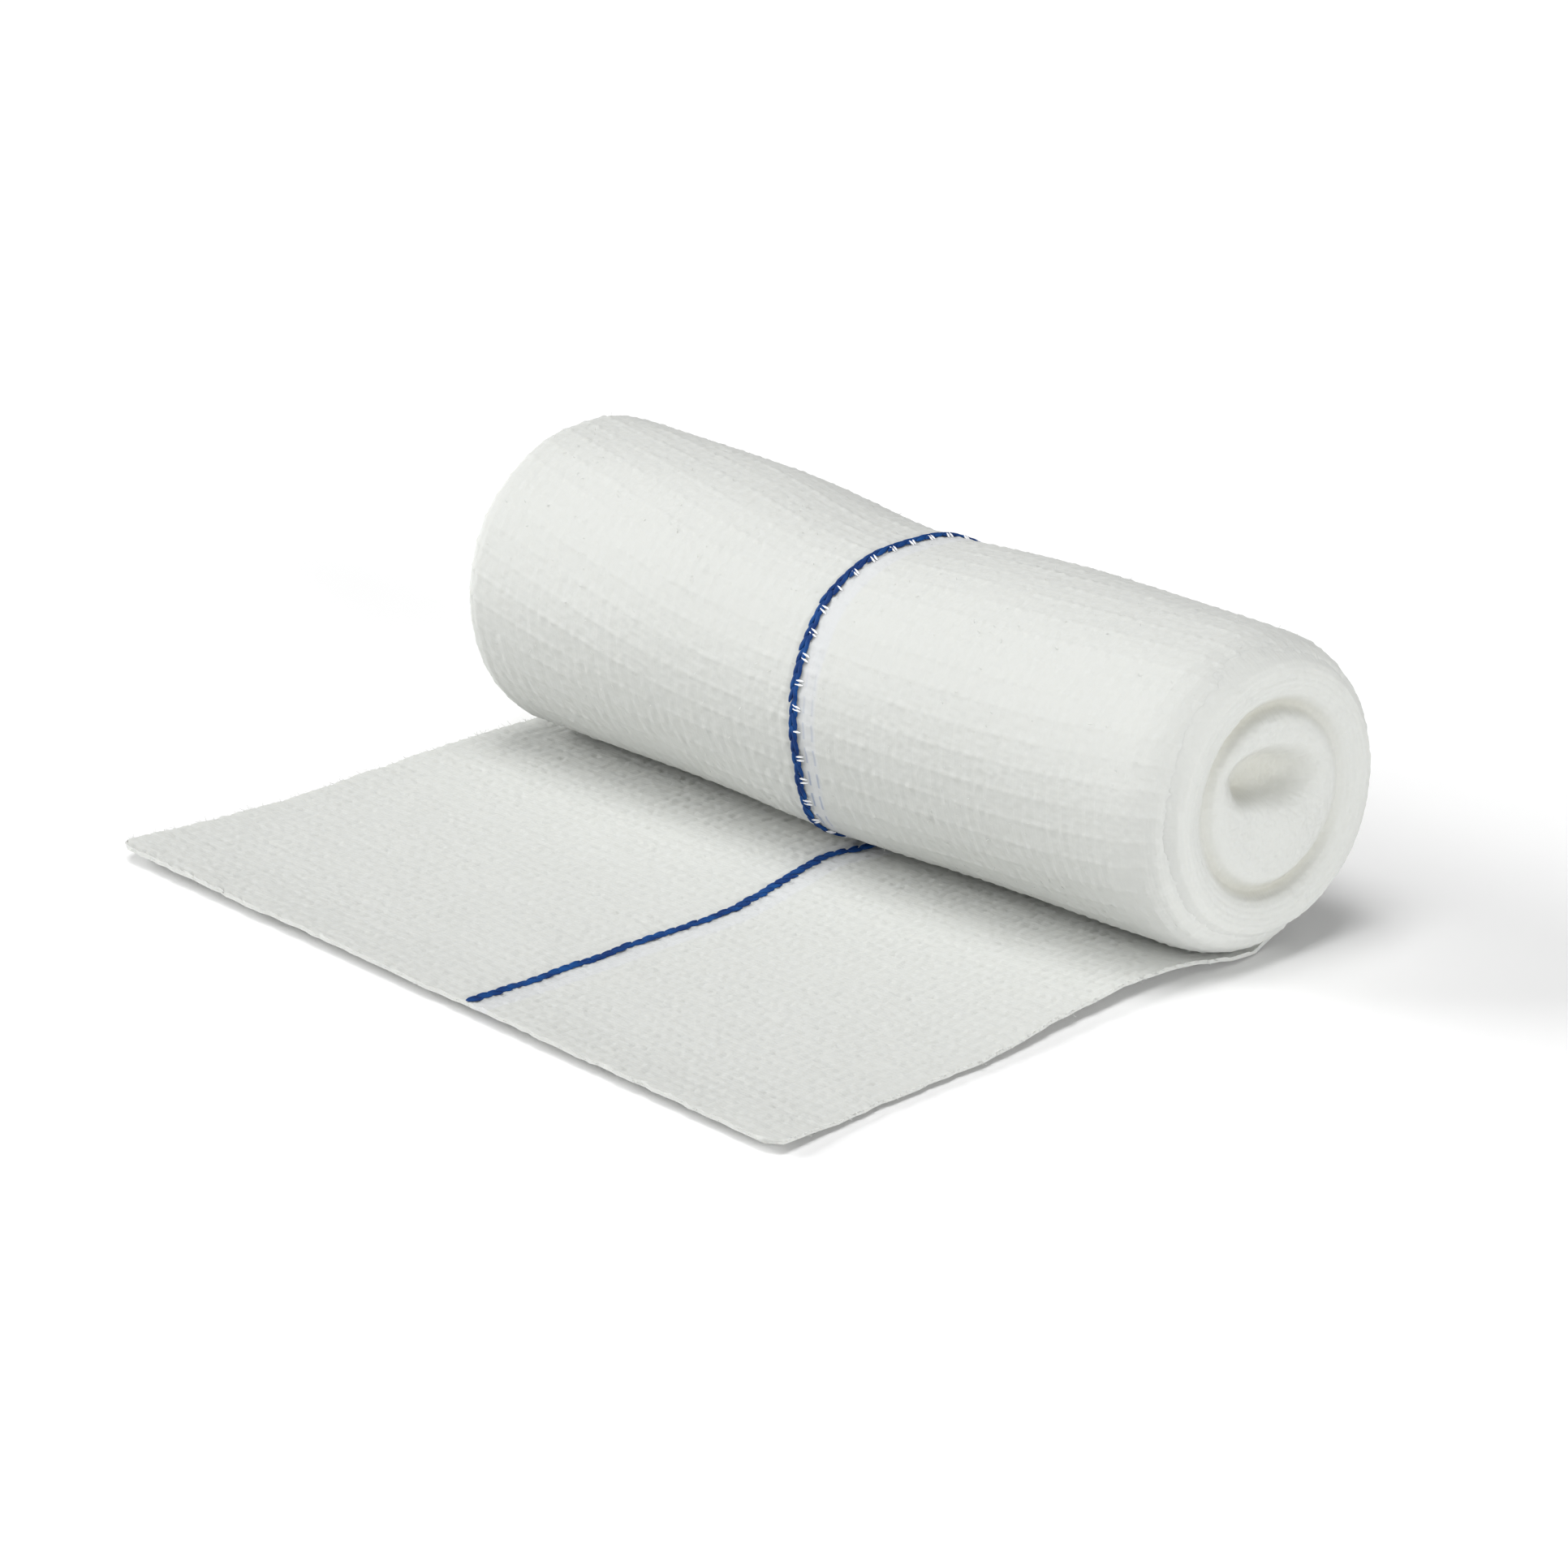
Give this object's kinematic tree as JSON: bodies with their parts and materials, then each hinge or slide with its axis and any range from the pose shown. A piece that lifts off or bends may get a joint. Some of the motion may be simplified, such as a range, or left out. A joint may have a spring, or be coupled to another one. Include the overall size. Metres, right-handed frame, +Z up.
{
  "type": "conforming bandage",
  "caption": "Knitted conforming bandage, part unrolled: a soft roll with rounded, grooved ends resting on its own flat free tail, with a coloured marker yarn along the middle.",
  "frame": {"origin": "on the flat underside of the strip, straight below the roll's axis and halfway along the roll", "axes": "X along the roll, Y from the tail's cut end towards the roll, Z up from the surface that the bandage lies on"},
  "size_m": [0.1001, 0.0793, 0.0329],
  "materials": {
    "bandage_knit": "soft off-white knitted gauze",
    "marker_yarn": "dark blue chain-stitched yarn"
  },
  "bodies": {
    "root": {"bandage_strip": "bandage_knit", "marker_yarn_roll": "marker_yarn", "marker_yarn_tail": "marker_yarn"}
  },
  "joints": []
}
